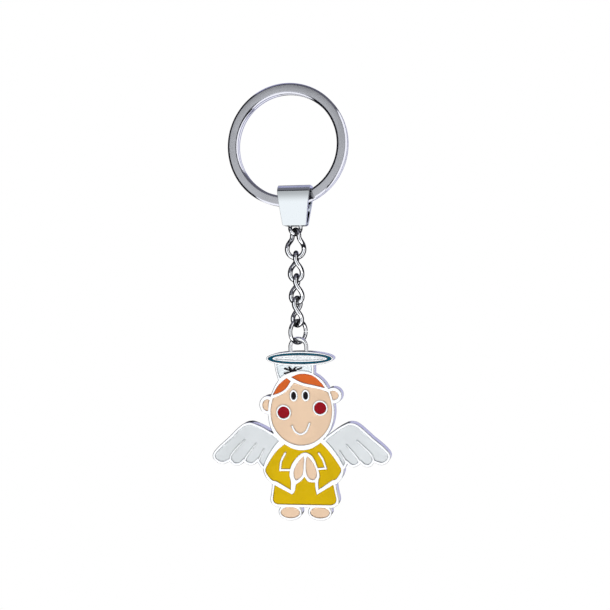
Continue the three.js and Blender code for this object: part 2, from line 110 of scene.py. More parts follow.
def painted_shade(tree, tint):
    """Multiplies the metal's colour by a value, on its way into the shader: painted shade wherever the value is
    below one.
    """
    wear = next(node for node in tree.nodes if node.type == "GROUP")
    shaded_colour, = new_nodes(tree, "ShaderNodeMix")
    shaded_colour.data_type = "RGBA"
    shaded_colour.blend_type = "MULTIPLY"
    set_inputs(shaded_colour, {"Factor": 1.0})
    link_nodes(tree, (
        (wear.outputs["Colour"], shaded_colour.inputs["A"]),
        (tint, shaded_colour.inputs["B"]),
        (shaded_colour.outputs["Result"], tree.nodes["Principled BSDF"].inputs["Base Color"]),
    ))


def metal_group():
    """Wear on plated metal: a tint, a roughness and a bump height, from fine grain and soft smears."""
    tree = bpy.data.node_groups.new("plated_metal_wear", "ShaderNodeTree")
    add_sockets(tree, "INPUT", (("Colour", "Color", (0.8, 0.8, 0.82, 1)), ("Roughness", "Float", 0.2),
                                ("Wear", "Float", 0.3), ("Grain", "Float", 2500.0)))
    add_sockets(tree, "OUTPUT", (("Colour", "Color"), ("Roughness", "Float"), ("Height", "Float")))
    given, out, place, smears, grain, pits, stretch, tint = new_nodes(
        tree, "NodeGroupInput", "NodeGroupOutput", "ShaderNodeTexCoord", "ShaderNodeTexNoise",
        "ShaderNodeTexNoise", "ShaderNodeTexVoronoi", "ShaderNodeMapping", "ShaderNodeMix")
    shade, pit_depth, rough, signed, scaled, height = new_nodes(
        tree, "ShaderNodeMapRange", "ShaderNodeMapRange", "ShaderNodeMath", "ShaderNodeMath",
        "ShaderNodeMath", "ShaderNodeMath")
    set_inputs(smears, {"Scale": 260, "Detail": 4})
    set_inputs(grain, {"Detail": 2})
    set_inputs(pits, {"Scale": 1100})
    set_inputs(stretch, {"Scale": (1, 1, 0.12)})
    tint.data_type = "RGBA"
    tint.blend_type = "MULTIPLY"
    set_inputs(shade, {"To Min": 0.9, "To Max": 1.0})
    set_inputs(pit_depth, {"From Max": 0.12, "To Min": -0.4, "To Max": 0.0})
    rough.operation = "MULTIPLY_ADD"
    set_inputs(rough, {1: 0.5})
    signed.operation = "SUBTRACT"
    set_inputs(signed, {1: 0.4})
    scaled.operation = "MULTIPLY"
    height.operation = "ADD"
    link_nodes(tree, (
        (place.outputs["Object"], smears.inputs["Vector"]),
        (place.outputs["Object"], stretch.inputs["Vector"]),
        (stretch.outputs[0], grain.inputs["Vector"]),
        (place.outputs["Object"], pits.inputs["Vector"]),
        (given.outputs["Grain"], grain.inputs["Scale"]),
        (smears.outputs["Fac"], shade.inputs["Value"]),
        (given.outputs["Wear"], tint.inputs["Factor"]),
        (given.outputs["Colour"], tint.inputs["A"]),
        (shade.outputs[0], tint.inputs["B"]),
        (tint.outputs["Result"], out.inputs["Colour"]),
        (smears.outputs["Fac"], signed.inputs[0]),
        (signed.outputs[0], scaled.inputs[0]),
        (given.outputs["Wear"], scaled.inputs[1]),
        (scaled.outputs[0], rough.inputs[0]),
        (given.outputs["Roughness"], rough.inputs[2]),
        (rough.outputs[0], out.inputs["Roughness"]),
        (pits.outputs["Distance"], pit_depth.inputs["Value"]),
        (grain.outputs["Fac"], height.inputs[0]),
        (pit_depth.outputs[0], height.inputs[1]),
        (height.outputs[0], out.inputs["Height"]),
    ))
    return tree


METAL_WEAR = metal_group()


def grouped_material(name, group, given, shader_values, bump_values):
    """A material whose colour, roughness and bump come from a group's outputs."""
    material = bpy.data.materials.new(name)
    material.use_nodes = True
    tree = material.node_tree
    shader = tree.nodes["Principled BSDF"]
    source, bump = new_nodes(tree, "ShaderNodeGroup", "ShaderNodeBump")
    source.node_tree = group
    set_inputs(source, given)
    set_inputs(shader, shader_values)
    set_inputs(bump, bump_values)
    link_nodes(tree, (
        (source.outputs["Colour"], shader.inputs["Base Color"]),
        (source.outputs["Roughness"], shader.inputs["Roughness"]),
        (source.outputs["Height"], bump.inputs["Height"]),
        (bump.outputs[0], shader.inputs["Normal"]),
    ))
    return material


def metal_material(name, colour, roughness, wear, grain, bump):
    return grouped_material(
        name, METAL_WEAR, {"Colour": colour, "Roughness": roughness, "Wear": wear, "Grain": grain},
        {"Metallic": 1}, {"Strength": bump, "Distance": 0.05 * MM})


def sweep_tree():
    """A wire swept along a line of points, round or flat, with closed ends."""
    tree = bpy.data.node_groups.new("wire_sweep", "GeometryNodeTree")
    add_sockets(tree, "INPUT", (("Geometry", "Geometry"), ("Section", "Object"), ("Steps", "Int", 100),
                                ("Flat", "Bool", False), ("Material", "Material")))
    add_sockets(tree, "OUTPUT", (("Geometry", "Geometry"),))
    given, out, curve, spline, resample, upright, choose = new_nodes(
        tree, "NodeGroupInput", "NodeGroupOutput", "GeometryNodeMeshToCurve", "GeometryNodeCurveSplineType",
        "GeometryNodeResampleCurve", "GeometryNodeSetCurveNormal", "GeometryNodeSwitch")
    section, section_curve, sweep, realize, paint = new_nodes(
        tree, "GeometryNodeObjectInfo", "GeometryNodeMeshToCurve", "GeometryNodeCurveToMesh",
        "GeometryNodeRealizeInstances", "GeometryNodeSetMaterial")
    spline.spline_type = "CATMULL_ROM"
    upright.mode = "Z_UP"
    set_inputs(sweep, {"Fill Caps": True})
    link_nodes(tree, (
        (given.outputs["Geometry"], curve.inputs["Mesh"]),
        (curve.outputs[0], spline.inputs["Curve"]),
        (spline.outputs[0], resample.inputs["Curve"]),
        (given.outputs["Steps"], resample.inputs["Count"]),
        (resample.outputs[0], upright.inputs["Curve"]),
        (given.outputs["Flat"], choose.inputs["Switch"]),
        (resample.outputs[0], choose.inputs["False"]),
        (upright.outputs[0], choose.inputs["True"]),
        (given.outputs["Section"], section.inputs["Object"]),
        (section.outputs["Geometry"], section_curve.inputs["Mesh"]),
        (choose.outputs[0], sweep.inputs["Curve"]),
        (section_curve.outputs[0], sweep.inputs["Profile Curve"]),
        (sweep.outputs[0], realize.inputs[0]),
        (realize.outputs[0], paint.inputs["Geometry"]),
        (given.outputs["Material"], paint.inputs["Material"]),
        (paint.outputs[0], out.inputs[0]),
    ))
    return tree


SWEEP = sweep_tree()


def polyline(name, points, closed=False):
    mesh = bpy.data.meshes.new(name)
    edges = [(i, i + 1) for i in range(len(points) - 1)]
    if closed:
        edges.append((len(points) - 1, 0))
    mesh.from_pydata([tuple(p) for p in points], edges, [])
    thing = bpy.data.objects.new(name, mesh)
    bpy.context.collection.objects.link(thing)
    return thing


def round_section(diameter):
    radius, sides = diameter / 2, 20
    turns = [2 * math.pi * i / sides for i in range(sides)]
    return polyline("section", [(radius * math.cos(a), radius * math.sin(a), 0) for a in turns], True)


def settle(name, mesh, angle=35):
    """A finished piece from a mesh already in place: outward faces, smooth but for its sharp edges."""
    work = bmesh.new()
    work.from_mesh(mesh)
    bmesh.ops.remove_doubles(work, verts=work.verts, dist=1e-7)
    bmesh.ops.recalc_face_normals(work, faces=work.faces)
    work.to_mesh(mesh)
    work.free()
    mesh.shade_smooth()
    mesh.set_sharp_from_angle(angle=math.radians(angle))
    thing = bpy.data.objects.new(name, mesh)
    bpy.context.collection.objects.link(thing)
    return thing


def swept(name, points, section, steps, material, flat=False, turn=None, angle=35):
    """The wire along the points as a plain mesh; turn moves it from its drawing plane into place."""
    source = polyline("line", points)
    modifier = source.modifiers.new("sweep", "NODES")
    modifier.node_group = SWEEP
    values = {"Section": section, "Steps": steps, "Flat": flat, "Material": material}
    for item in SWEEP.interface.items_tree:
        if item.in_out == "INPUT" and item.name in values:
            modifier[item.identifier] = values[item.name]
    bpy.context.view_layer.update()
    seen = source.evaluated_get(bpy.context.evaluated_depsgraph_get())
    mesh = bpy.data.meshes.new_from_object(seen)
    mesh.name = name
    if turn is not None:
        mesh.transform(turn)
    bpy.data.objects.remove(source)
    return settle(name, mesh, angle)


def smoothstep(value, low, high):
    share = min(1, max(0, (value - low) / (high - low)))
    return share * share * (3 - 2 * share)


def drawn_in(piece, node):
    """Keeps a piece in its node's box, which its rounder curves would pass by a few hundredths of a mm."""
    low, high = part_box(node)
    for axis in range(3):
        along = [vert.co[axis] for vert in piece.data.vertices]
        near, far = min(along), max(along)
        new_near, new_far = max(near, low[axis]), min(far, high[axis])
        share = (new_far - new_near) / (far - near)
        for vert in piece.data.vertices:
            vert.co[axis] = new_near + (vert.co[axis] - near) * share


RING_LOW, RING_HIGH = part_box("key_ring")
RING_OUTER = (RING_HIGH.x - RING_LOW.x) / 2
RING_RADIUS = RING_OUTER - FLAT_WIDTH / 2
RING_CENTRE = Vector(((RING_LOW.x + RING_HIGH.x) / 2, 0, -RING_OUTER + FLAT_WIDTH))


def ring_line():
    """Drawn flat, with the ring's own axis along Z; the jog steps the wire from one turn to the next."""
    points = []
    sweep_degrees = 2 * 360 - JOG_DEGREES - CUT_DEGREES
    for i in range(RING_STEPS + 1):
        turned = sweep_degrees * i / RING_STEPS
        share = smoothstep(turned, 360 - JOG_DEGREES, 360)
        side = (0.5 - share) * (WIRE_THICK + TURN_GAP)
        angle = RING_START + math.radians(turned)
        points.append((RING_RADIUS * math.cos(angle), RING_RADIUS * math.sin(angle), side))
    return points


def flat_section():
    """The wire's section: flat faces with soft bevels, the corners eased by a small arc."""
    half_w, half_t = FLAT_WIDTH / 2, WIRE_THICK / 2
    edge_w, edge_t = half_w - BEVEL_ACROSS, half_t - BEVEL_DEEP
    corners = [(half_w, -edge_t), (half_w, edge_t), (edge_w, half_t), (-edge_w, half_t),
               (-half_w, edge_t), (-half_w, -edge_t), (-edge_w, -half_t), (edge_w, -half_t)]
    points = []
    for i, corner in enumerate(corners):
        here = Vector(corner)
        back = (Vector(corners[i - 1]) - here).normalized() * CORNER_EASE
        on = (Vector(corners[(i + 1) % len(corners)]) - here).normalized() * CORNER_EASE
        points += [here + back, here + (back + on) * 0.2, here + on]
    return polyline("flat_section", [(p.x, p.y, 0) for p in points], True)


STAND_UP = Matrix.Translation(RING_CENTRE) @ Matrix.Rotation(math.radians(90), 4, "X")
satin_steel = metal_material("satin_steel", linear(180, 180, 184), 0.3, wear=0.35, grain=5200, bump=0.1)
polished_steel = metal_material(
    "polished_steel", linear(198, 199, 208), 0.10, wear=0.2, grain=3000, bump=0.02)
key_ring = swept("key_ring_steel", ring_line(), flat_section(), RING_STEPS, satin_steel,
                 flat=True, turn=STAND_UP, angle=25)
key_ring.data.materials.append(polished_steel)
drawn_in(key_ring, "key_ring")
for face in key_ring.data.polygons:
    if abs(face.normal.y) < FLAT_FACE:
        face.material_index = 1
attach(key_ring, "ring")
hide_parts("key_ring")

# ---- folded clip and its pin ----
# A strap of bright nickel-plated sheet, stamped to a taper and folded over the ring, its ends side by side.
# A short pin between the ends carries the chain's first loop.
WELD = 1e-6                      # points nearer than this are one
NEARLY_FLAT = math.radians(2)
HARD_EDGE = math.radians(30)
bright_nickel = metal_material(
    "bright_nickel", linear(228, 232, 234), 0.07, wear=0.2, grain=1800, bump=0.01)


def eased_copy(name, node, material, width):
    """A copy of a node's mesh with its hard edges rounded."""
    source = frame["nodes"][node]
    mesh = source.data.copy()
    mesh.transform(source.matrix_world)
    mesh.materials.clear()
    mesh.materials.append(material)
    work = bmesh.new()
    work.from_mesh(mesh)
    bmesh.ops.remove_doubles(work, verts=work.verts, dist=WELD)
    bmesh.ops.dissolve_limit(work, angle_limit=NEARLY_FLAT, verts=work.verts, edges=work.edges)
    sharp = [e for e in work.edges if len(e.link_faces) == 2 and e.calc_face_angle(0) > HARD_EDGE]
    bmesh.ops.bevel(work, geom=sharp, offset=width, segments=3, profile=0.6, affect="EDGES",
                    clamp_overlap=True)
    work.to_mesh(mesh)
    work.free()
    return settle(name, mesh, 40)


CLIP_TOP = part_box("ring_clip")[1].z


def clip_material():
    """Bright nickel with painted shade: a grey gradient just under the fold, half as bright at its darkest."""
    material = bright_nickel.copy()
    material.name = "clip_nickel"
    tree = material.node_tree
    place, split, fold_shade, above, painted_clip_shade = new_nodes(
        tree, "ShaderNodeTexCoord", "ShaderNodeSeparateXYZ", "ShaderNodeMapRange", "ShaderNodeMapRange",
        "ShaderNodeMath")
    painted_clip_shade.operation = "MAXIMUM"
    fold_shade.interpolation_type = "SMOOTHSTEP"
    # Painted shade: half brightness just under the fold band, back to full at the fold itself and 4.4 mm below
    # the top.
    set_inputs(fold_shade, {"From Min": CLIP_TOP - 1.7 * MM, "From Max": CLIP_TOP - 4.4 * MM,
                      "To Min": 0.5, "To Max": 1.0})
    set_inputs(above, {"From Min": CLIP_TOP - 1.5 * MM, "From Max": CLIP_TOP - 1.2 * MM})
    link_nodes(tree, (
        (place.outputs["Object"], split.inputs[0]),
        (split.outputs["Z"], fold_shade.inputs["Value"]),
        (split.outputs["Z"], above.inputs["Value"]),
        (fold_shade.outputs[0], painted_clip_shade.inputs[0]),
        (above.outputs[0], painted_clip_shade.inputs[1]),
    ))
    painted_shade(tree, painted_clip_shade.outputs[0])
    return material


clip = eased_copy("ring_clip_strap", "ring_clip", clip_material(), 0.2 * MM)
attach(clip, "clip")
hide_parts("ring_clip")
pin = eased_copy("clip_pin_stud", "clip_pin", bright_nickel, 0.08 * MM)
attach(pin, "clip")
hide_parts("clip_pin")

# ---- connector loop, twisted chain and jump ring ----
# Each is one length of round nickel-plated steel wire, bent to shape and butted at a hairline joint.
# The chain's links are twisted so that each lower bow stands across the next link's upper bow.
LINK_WIRE = 1.2 * MM
LOOP_WIRE = 1.0 * MM
LOOP_STEPS = 120
LEG_STEP = 0.25 * MM
LEAST_LEG = 0.5 * MM             # a loop whose legs are shorter than this is two bows
BOW_STEPS = 14
BOW_ONWARD = 0.22                # radians from one bow's last point to the next bow's first


def loop_line(top, bottom, height, top_turn, bottom_turn, joint, side, centre, twist):
    """The middle line of a loop, from its joint half-way up one leg round to the joint again."""
    leg_top, leg_low = height / 2 - top, bottom - height / 2
    twist_low, twist_top = twist or (leg_low, leg_top + 1e-9)    # never quite the same, for the division
    middle = (leg_top + leg_low) / 2
    top_turn, bottom_turn = math.radians(top_turn), math.radians(bottom_turn)
    points = []

    def place(across, z):
        share = smoothstep(z, twist_low, twist_top)
        turn = bottom_turn + (top_turn - bottom_turn) * share
        points.append(centre + Vector((across * math.cos(turn), across * math.sin(turn), z)))

    def leg(start, end, edge):
        steps = max(2, round(abs(end - start) / LEG_STEP))
        for i in range(steps):
            z = start + (end - start) * i / steps
            share = (z - leg_low) / (leg_top - leg_low)
            place(edge * (bottom + (top - bottom) * share), z)

    def bow(radius, level, start, end):
        for i in range(BOW_STEPS + 1):
            angle = start + (end - start) * i / BOW_STEPS
            place(side * radius * math.cos(angle), level + radius * math.sin(angle))

    if leg_top - leg_low > LEAST_LEG:
        leg(middle + joint / 2, leg_top, side)
        bow(top, leg_top, 0, math.pi)
        leg(leg_top - LEG_STEP, leg_low, -side)
        bow(bottom, leg_low, -math.pi, 0)
        leg(leg_low + LEG_STEP, middle - joint / 2, side)
        place(side * (top + bottom) / 2, middle - joint / 2)
    else:
        slit = joint / 2 / top
        bow(top, middle, slit, math.pi)
        bow(bottom, middle, math.pi + BOW_ONWARD, 2 * math.pi - slit)
    return points


def middle_of(node):
    low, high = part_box(node)
    return (low + high) / 2


def wire_material(name, colour):
    """Bright plating on thin wire, with painted shade where it turns away from the viewer, for a stronger
    contrast.
    """
    material = metal_material(name, colour, 0.045, wear=0.3, grain=2200, bump=0.01)
    tree = material.node_tree
    flank, flank_shade = new_nodes(tree, "ShaderNodeLayerWeight", "ShaderNodeMapRange")
    set_inputs(flank, {"Blend": 0.5})
    flank_shade.interpolation_type = "SMOOTHSTEP"
    # Painted shade: the flanks the camera sees edge-on are darkened to a twentieth of the plating's colour.
    set_inputs(flank_shade, {"From Min": 0.12, "From Max": 0.42, "To Min": 1.0, "To Max": 0.05})
    link_nodes(tree, ((flank.outputs["Facing"], flank_shade.inputs["Value"]),))
    painted_shade(tree, flank_shade.outputs[0])
    return material


chain_nickel = wire_material("chain_nickel", linear(246, 247, 250))
loop_nickel = wire_material("loop_nickel", linear(246, 247, 250))
link_section = round_section(LINK_WIRE)
loop_section = round_section(LOOP_WIRE)
CONNECTOR_TWIST = (-1.915 * MM, -0.365 * MM)
# Lengths are in mm and turns in degrees, all of the wire's middle line. Columns: node, body, x, upper bow's
# radius, lower bow's radius, height, upper bow's turn, lower bow's turn, gap at the joint, the joint's side,
# the heights where the twist starts and ends, section, material and slot.
LOOPS = [
    ("connector_loop", "connector", 2.0, 1.3, 1.3, 4.73, 0, 40, 0.1, -1, CONNECTOR_TWIST,
     loop_section, loop_nickel, "bright_nickel"),
    ("chain_link_1", "link_1", 2.0, 1.8, 2.1, 6.86, -50, 8, 0.1, -1, None,
     link_section, chain_nickel, "chain_nickel"),
    ("chain_link_2", "link_2", 2.15, 1.5, 1.5, 6.8, -84, 0, 0.1, -1, None,
     link_section, chain_nickel, "chain_nickel"),
    ("chain_link_3", "link_3", 2.3, 1.5, 1.5, 6.8, -90, -10, 0.1, -1, None,
     link_section, chain_nickel, "chain_nickel"),
    ("chain_link_4", "link_4", 2.45, 1.5, 1.5, 6.8, -108, -30, 0.1, -1, None,
     link_section, chain_nickel, "chain_nickel"),
    ("jump_ring", "jump", 2.68, 2.7, 2.7, 5.4, 58, 58, 0.22, 1, None,
     loop_section, loop_nickel, "bright_nickel"),
]
for (node, body, x, top, bottom, height, top_turn, bottom_turn, joint, side, twist,
     section, material, slot) in LOOPS:
    centre = Vector((x * MM, 0, middle_of(node).z))
    line = loop_line(top * MM, bottom * MM, height * MM, top_turn, bottom_turn, joint * MM, side, centre, twist)
    loop = swept(node + "_wire", line, section, LOOP_STEPS, material)
    drawn_in(loop, node)
    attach(loop, body)
    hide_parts(node)

# ---- charm metal ----
# A nickel-plated zinc casting: raised walls round recessed cells, a plain flat back and rounded edges.
# The cells' outlines come from the frame and are smoothed between their corners.
CORNER = math.radians(31)        # a sharper turn than this in an outline stays a corner
BETWEEN = 3                      # points per stretch of a smoothed outline
EDGE_ROUND = 0.18 * MM
CELL_ROUND = 0.07 * MM
ROUND_STEPS = 3
FLAT_MARGIN = 0.03 * MM
POCKET = 0.5 * MM
FACING = 0.99                    # how squarely a face must look along Y to count as a cap
SAME_LEVEL = 1e-5
TINY = 1e-9
IN_MM = 1000                     # caps are filled in mm, where their smallest steps are well above rounding


def cap_loops(node, facing):
    """The closed outlines, in (x, z), round a node's outermost flat faces that look along facing Y."""
    source = frame["nodes"][node]
    work = bmesh.new()
    work.from_mesh(source.data)
    work.transform(source.matrix_world)
    bmesh.ops.remove_doubles(work, verts=work.verts, dist=WELD)
    work.normal_update()
    caps = [f for f in work.faces if f.normal.y * facing > FACING]
    outermost = max(f.calc_center_median().y * facing for f in caps)
    caps = {f for f in caps if abs(f.calc_center_median().y * facing - outermost) < SAME_LEVEL}
    follows = {}
    for face in caps:
        for loop in face.loops:
            if sum(other in caps for other in loop.edge.link_faces) == 1:
                follows.setdefault(loop.vert, []).append(loop.link_loop_next.vert)
    outlines = []
    while follows:
        start = next(iter(follows))
        here, points = start, []
        while here in follows:
            points.append(Vector((here.co.x, here.co.z)))
            onward = follows[here].pop()
            if not follows[here]:
                del follows[here]
            here = onward
        if len(points) > 2:
            outlines.append(points)
    work.free()
    return outlines, outermost * facing


def smoothed(points):
    """The outline with its gentle turns made curves, its corners kept."""
    count = len(points)

    def direction(i):
        return (points[(i + 1) % count] - points[i % count]).normalized()

    corner = [abs(direction(i - 1).angle_signed(direction(i), 0)) > CORNER for i in range(count)]
    result = []
    for i in range(count):
        a, b, c, d = (points[(i + k) % count] for k in (-1, 0, 1, 2))
        span = c - b
        slope_b = slope_c = span
        if not corner[i]:
            slope_b = (c - a) * span.length / max(TINY, span.length + (b - a).length)
        if not corner[(i + 1) % count]:
            slope_c = (d - b) * span.length / max(TINY, span.length + (d - c).length)
        for k in range(BETWEEN):
            t = k / BETWEEN
            result.append((2 * t ** 3 - 3 * t ** 2 + 1) * b + (t ** 3 - 2 * t ** 2 + t) * slope_b
                          + (3 * t ** 2 - 2 * t ** 3) * c + (t ** 3 - t ** 2) * slope_c)
    return result


def area(points):
    return sum(a.x * b.y - b.x * a.y for a, b in zip(points, points[1:] + points[:1])) / 2


def inside(point, points):
    crossings = False
    for a, b in zip(points, points[1:] + points[:1]):
        if (a.y > point.y) != (b.y > point.y):
            if point.x < a.x + (point.y - a.y) * (b.x - a.x) / (b.y - a.y):
                crossings = not crossings
    return crossings


def wound(outlines):
    """Each outline turned so that the solid lies on its left."""
    result = []
    for i, points in enumerate(outlines):
        depth = sum(inside(points[0], other) for j, other in enumerate(outlines) if j != i)
        wants = 1 if depth % 2 == 0 else -1
        result.append(points if area(points) * wants > 0 else points[::-1])
    return result


def shifted(points, distance):
    """The outline moved sideways, into the solid, by an even distance."""
    count = len(points)
    result = []
    for i in range(count):
        before = (points[i] - points[i - 1]).normalized()
        after = (points[(i + 1) % count] - points[i]).normalized()
        inward = Vector((-before.y - after.y, before.x + after.x))
        across = Vector((-after.y, after.x))
        if inward.length < WELD:
            inward = across
        inward = inward.normalized()
        spread = max(0.6, inward.dot(across))    # keeps a sharp corner from running far out
        result.append(points[i] + inward * (distance / spread))
    return result


class Slab:
    """Builds a solid from outlines: rows of points joined by walls, and flat caps between them."""

    def __init__(self):
        self.verts, self.faces = [], []

    def row(self, points, y):
        first = len(self.verts)
        self.verts += [(p.x, y, p.y) for p in points]
        return list(range(first, len(self.verts)))

    def walls(self, rows):
        for low, high in zip(rows, rows[1:]):
            count = len(low)
            for i in range(count):
                after = (i + 1) % count
                self.faces.append((low[i], low[after], high[after], high[i]))

    def cap(self, rows):
        """Fills between the rows' outlines wherever an odd number of them lies round a point."""
        flat = [Vector((self.verts[i][0], self.verts[i][2])) * IN_MM for row in rows for i in row]
        index = [i for row in rows for i in row]
        edges, outlines, first = [], [], 0
        for row in rows:
            count = len(row)
            edges += [(first + i, first + (i + 1) % count) for i in range(count)]
            outlines.append(flat[first:first + count])
            first += count
        verts, _, faces, origin, _, _ = delaunay_2d_cdt(flat, edges, [], 0, 1e-6)
        y = self.verts[index[0]][1]
        numbers = []
        for place, came in zip(verts, origin):
            if came:
                numbers.append(index[came[0]])
            else:
                self.verts.append((place.x / IN_MM, y, place.y / IN_MM))
                numbers.append(len(self.verts) - 1)
        for face in faces:
            middle = sum((verts[i] for i in face), Vector((0, 0))) / len(face)
            if sum(inside(middle, outline) for outline in outlines) % 2:
                self.faces.append(tuple(numbers[i] for i in face))

    def mesh(self, name, material):
        mesh = bpy.data.meshes.new(name)
        mesh.from_pydata(self.verts, [], self.faces)
        mesh.materials.append(material)
        return mesh


def rounded_rows(slab, points, face_y, inwards, radius):
    """Rows from the wall round onto a face at face_y; inwards is the way into the solid, along Y."""
    rows = []
    for i in range(ROUND_STEPS + 1):
        angle = math.pi / 2 * i / ROUND_STEPS
        rows.append(slab.row(shifted(points, radius * (1 - math.cos(angle))),
                             face_y + inwards * radius * (1 - math.sin(angle))))
    rows.append(slab.row(shifted(points, radius + FLAT_MARGIN), face_y))
    return rows


cast_nickel = metal_material("cast_nickel", linear(254, 254, 255), 0.16, wear=0.35, grain=1500, bump=0.05)
front_loops, FRONT_Y = cap_loops("charm_base", -1)
BACK_Y = cap_loops("charm_base", 1)[1]
metal_loops = wound([smoothed(points) for points in front_loops])
silhouette = max(metal_loops, key=lambda points: abs(area(points)))

slab = Slab()
front_rows, floor_rows = [], []
for points in metal_loops:
    outer = points is silhouette
    rows = rounded_rows(slab, points, FRONT_Y, 1, EDGE_ROUND if outer else CELL_ROUND)
    front_rows.append(rows[-1])
    if outer:
        back = rounded_rows(slab, points, BACK_Y, -1, EDGE_ROUND)
        slab.walls(back[::-1] + rows)
        slab.cap([back[-1]])
    else:
        floor = slab.row(points, FRONT_Y + POCKET)
        slab.walls([floor] + rows)
        floor_rows.append(floor)
slab.cap(front_rows)
slab.cap(floor_rows)
charm_metal = settle("charm_casting", slab.mesh("charm_casting", cast_nickel))
drawn_in(charm_metal, "charm_base")
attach(charm_metal, "charm")
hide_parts("charm_base")

# ---- charm eyelet ----
# Part of the same casting: an arch of round bar standing on the halo's top edge.
ROLL = math.radians(-2.4)
EYELET_RADIUS = 2.0 * MM
ARCH_HEIGHT = -1.9 * MM
EYELET_FOOT = -3.4 * MM
EYELET_X = 2.7 * MM
EYELET_STEPS = 90
ARCH_STEPS = 24
charm_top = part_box("charm_base")[1].z
arch_centre = Vector((EYELET_X, 0, charm_top - EYELET_RADIUS - LOOP_WIRE / 2))
line = [arch_centre + Vector((-EYELET_RADIUS, 0, EYELET_FOOT - ARCH_HEIGHT))]
line += [arch_centre + Vector((-EYELET_RADIUS * math.cos(a), 0, EYELET_RADIUS * math.sin(a)))
         for a in (math.pi * i / ARCH_STEPS for i in range(ARCH_STEPS + 1))]
line.append(arch_centre + Vector((EYELET_RADIUS, 0, EYELET_FOOT - ARCH_HEIGHT)))
pivot = Matrix.Translation(arch_centre)
lean = pivot @ Matrix.Rotation(ROLL, 4, "Y") @ pivot.inverted()
eyelet = swept("charm_eyelet_cast", line, loop_section, EYELET_STEPS, cast_nickel, turn=lean)
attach(eyelet, "charm")

# ---- enamel ----
# Soft enamel flooded into each cell and baked: opaque colour a little below the metal, its rim drawn in.
# Its surface is glossy with a faint orange peel, slight clouding and a few specks.
BEAD = ((0.0, 0.2), (0.05, 0.14), (0.1, 0.05), (0.15, 0.01), (0.2, 0.0))   # mm in from the wall, mm deep


def enamel_group():
    """Baked enamel: a mottled colour, a roughness and a height for orange peel and specks."""
    tree = bpy.data.node_groups.new("baked_enamel", "ShaderNodeTree")
    add_sockets(tree, "INPUT", (("Colour", "Color", (0.5, 0.5, 0.5, 1)), ("Clouding", "Float", 0.12),
                                ("Roughness", "Float", 0.22)))
    add_sockets(tree, "OUTPUT", (("Colour", "Color"), ("Roughness", "Float"), ("Height", "Float")))
    given, out, place, cloud, peel, specks = new_nodes(
        tree, "NodeGroupInput", "NodeGroupOutput", "ShaderNodeTexCoord", "ShaderNodeTexNoise",
        "ShaderNodeTexNoise", "ShaderNodeTexVoronoi")
    darker, speck, mottle, dotted, rough = new_nodes(
        tree, "ShaderNodeMapRange", "ShaderNodeMapRange", "ShaderNodeMix", "ShaderNodeMix", "ShaderNodeMath")
    set_inputs(cloud, {"Scale": 170, "Detail": 5})
    set_inputs(peel, {"Scale": 900})
    set_inputs(specks, {"Scale": 520})
    set_inputs(darker, {"From Min": 0.3, "From Max": 0.7, "To Min": 0.55, "To Max": 1.15})
    set_inputs(speck, {"From Max": 0.09, "To Min": 0.6, "To Max": 1.0})
    for mix in (mottle, dotted):
        mix.data_type = "RGBA"
        mix.blend_type = "MULTIPLY"
    set_inputs(dotted, {"Factor": 0.35})
    rough.operation = "MULTIPLY_ADD"
    set_inputs(rough, {1: 0.12})
    link_nodes(tree, (
        (place.outputs["Object"], cloud.inputs["Vector"]),
        (place.outputs["Object"], peel.inputs["Vector"]),
        (place.outputs["Object"], specks.inputs["Vector"]),
        (cloud.outputs["Fac"], darker.inputs["Value"]),
        (specks.outputs["Distance"], speck.inputs["Value"]),
        (given.outputs["Clouding"], mottle.inputs["Factor"]),
        (given.outputs["Colour"], mottle.inputs["A"]),
        (darker.outputs[0], mottle.inputs["B"]),
        (mottle.outputs["Result"], dotted.inputs["A"]),
        (speck.outputs[0], dotted.inputs["B"]),
        (dotted.outputs["Result"], out.inputs["Colour"]),
        (cloud.outputs["Fac"], rough.inputs[0]),
        (given.outputs["Roughness"], rough.inputs[2]),
        (rough.outputs[0], out.inputs["Roughness"]),
        (peel.outputs["Fac"], out.inputs["Height"]),
    ))
    return tree


BAKED = enamel_group()


def enamel_material(name, colour, clouding):
    return grouped_material(
        name, BAKED, {"Colour": colour, "Clouding": clouding, "Roughness": 0.22},
        {"Specular IOR Level": 0.09}, {"Strength": 0.12, "Distance": 0.04 * MM})


# One paint to a slot, and the halo's two fills, brighter than the wings, by their own nodes.
PAINTS = {
    "skin_enamel": enamel_material("skin_enamel", linear(240, 208, 177), 0.12),
    "hair_enamel": enamel_material("hair_enamel", linear(220, 103, 42), 0.2),
    "robe_enamel": enamel_material("robe_enamel", linear(222, 184, 0), 0.2),
    "teal_enamel": enamel_material("teal_enamel", linear(0, 82, 106), 0.2),
    "red_enamel": enamel_material("red_enamel", linear(160, 12, 30), 0.5),
    "black_enamel": enamel_material("black_enamel", linear(24, 21, 28), 0.3),
    "pearl_enamel": enamel_material("pearl_enamel", linear(226, 230, 232), 0.12),
    "enamel_halo_centre": enamel_material("halo_enamel", linear(244, 247, 250), 0.08),
    "enamel_halo_panel": enamel_material("panel_enamel", linear(238, 246, 250), 0.08),
}


def enamel_fill(node, paint):
    """The cell's fill: straight sides and a flat top that rounds down to a fine groove at the metal."""
    outlines, front = cap_loops(node, -1)
    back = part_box(node)[1].y
    fill = Slab()
    front_caps, back_caps = [], []
    for points in wound([smoothed(points) for points in outlines]):
        base = fill.row(points, back)
        rows = [base] + [fill.row(shifted(points, across * MM), front + deep * MM) for across, deep in BEAD]
        fill.walls(rows)
        back_caps.append(base)
        front_caps.append(rows[-1])
    fill.cap(front_caps)
    fill.cap(back_caps)
    return settle(node + "_fill", fill.mesh(node + "_fill", paint), 50)


